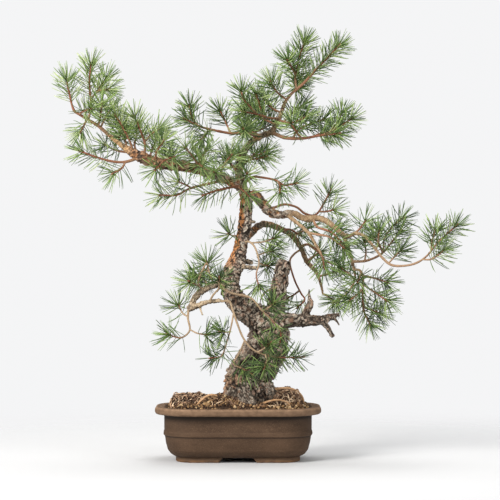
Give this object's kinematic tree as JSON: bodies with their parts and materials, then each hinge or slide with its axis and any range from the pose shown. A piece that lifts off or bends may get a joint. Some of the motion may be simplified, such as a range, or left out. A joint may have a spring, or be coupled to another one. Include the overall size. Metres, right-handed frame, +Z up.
{
  "type": "scots pine bonsai",
  "caption": "Scots pine bonsai with long sweeping branches, dead wood and short paired needles, growing in an oval-cornered brown stoneware pot on low feet.",
  "frame": {"origin": "on the ground under the middle of the whole plant's bounding box", "axes": "+Z up along the trunk, +X towards the drooping right branch, -Y towards the viewer in front of the tree"},
  "size_m": [0.7458, 0.3118, 0.7969],
  "materials": {
    "stoneware": "matte",
    "screen_mesh": "matte",
    "gritty_soil": "matte",
    "bark": "matte",
    "needles": "satin"
  },
  "bodies": {
    "root": {"pot": "stoneware", "drain_screen_left": "screen_mesh", "drain_screen_right": "screen_mesh", "soil": "gritty_soil", "wood": "bark", "spray_crown_top": "needles", "spray_crown_left_behind": "needles", "spray_crown_inner": "needles", "spray_crown_inner_behind": "needles", "spray_crown_right": "needles", "spray_crown_right_upper": "needles", "spray_crown_left": "needles", "spray_crown_behind": "needles", "spray_left_end": "needles", "spray_left_lower": "needles", "spray_left_middle": "needles", "spray_left_shoot_a": "needles", "spray_left_shoot_b": "needles", "spray_left_shoot_c": "needles", "spray_left_shoot_d": "needles", "spray_left_shoot_e": "needles", "spray_left_shoot_f": "needles", "spray_left_under": "needles", "spray_left_behind_a": "needles", "spray_left_behind_b": "needles", "spray_left_behind_c": "needles", "spray_left_near": "needles", "spray_inner_left_front": "needles", "spray_inner_left_low": "needles", "spray_inner_right": "needles", "spray_centre_shoot_a": "needles", "spray_centre_shoot_b": "needles", "spray_centre_shoot_c": "needles", "spray_centre_behind_a": "needles", "spray_centre_behind_b": "needles", "spray_right_thin": "needles", "spray_right_low_front": "needles", "spray_right_low": "needles", "spray_right_middle": "needles", "spray_right_upper": "needles", "spray_right_far": "needles", "spray_right_hanging_upper": "needles", "spray_right_hanging_lower": "needles", "spray_right_hanging_end": "needles", "spray_right_behind_a": "needles", "spray_behind_a": "needles", "spray_behind_b": "needles", "spray_behind_c": "needles", "spray_behind_d": "needles", "spray_behind_e": "needles", "spray_behind_f": "needles", "spray_behind_g": "needles", "spray_trunk_left": "needles", "spray_trunk_right": "needles", "spray_low_left_shoot": "needles", "spray_low_left_side": "needles", "spray_low_left_down": "needles", "spray_low_left_behind": "needles", "spray_front_over": "needles", "spray_front_long": "needles"}
  },
  "joints": []
}
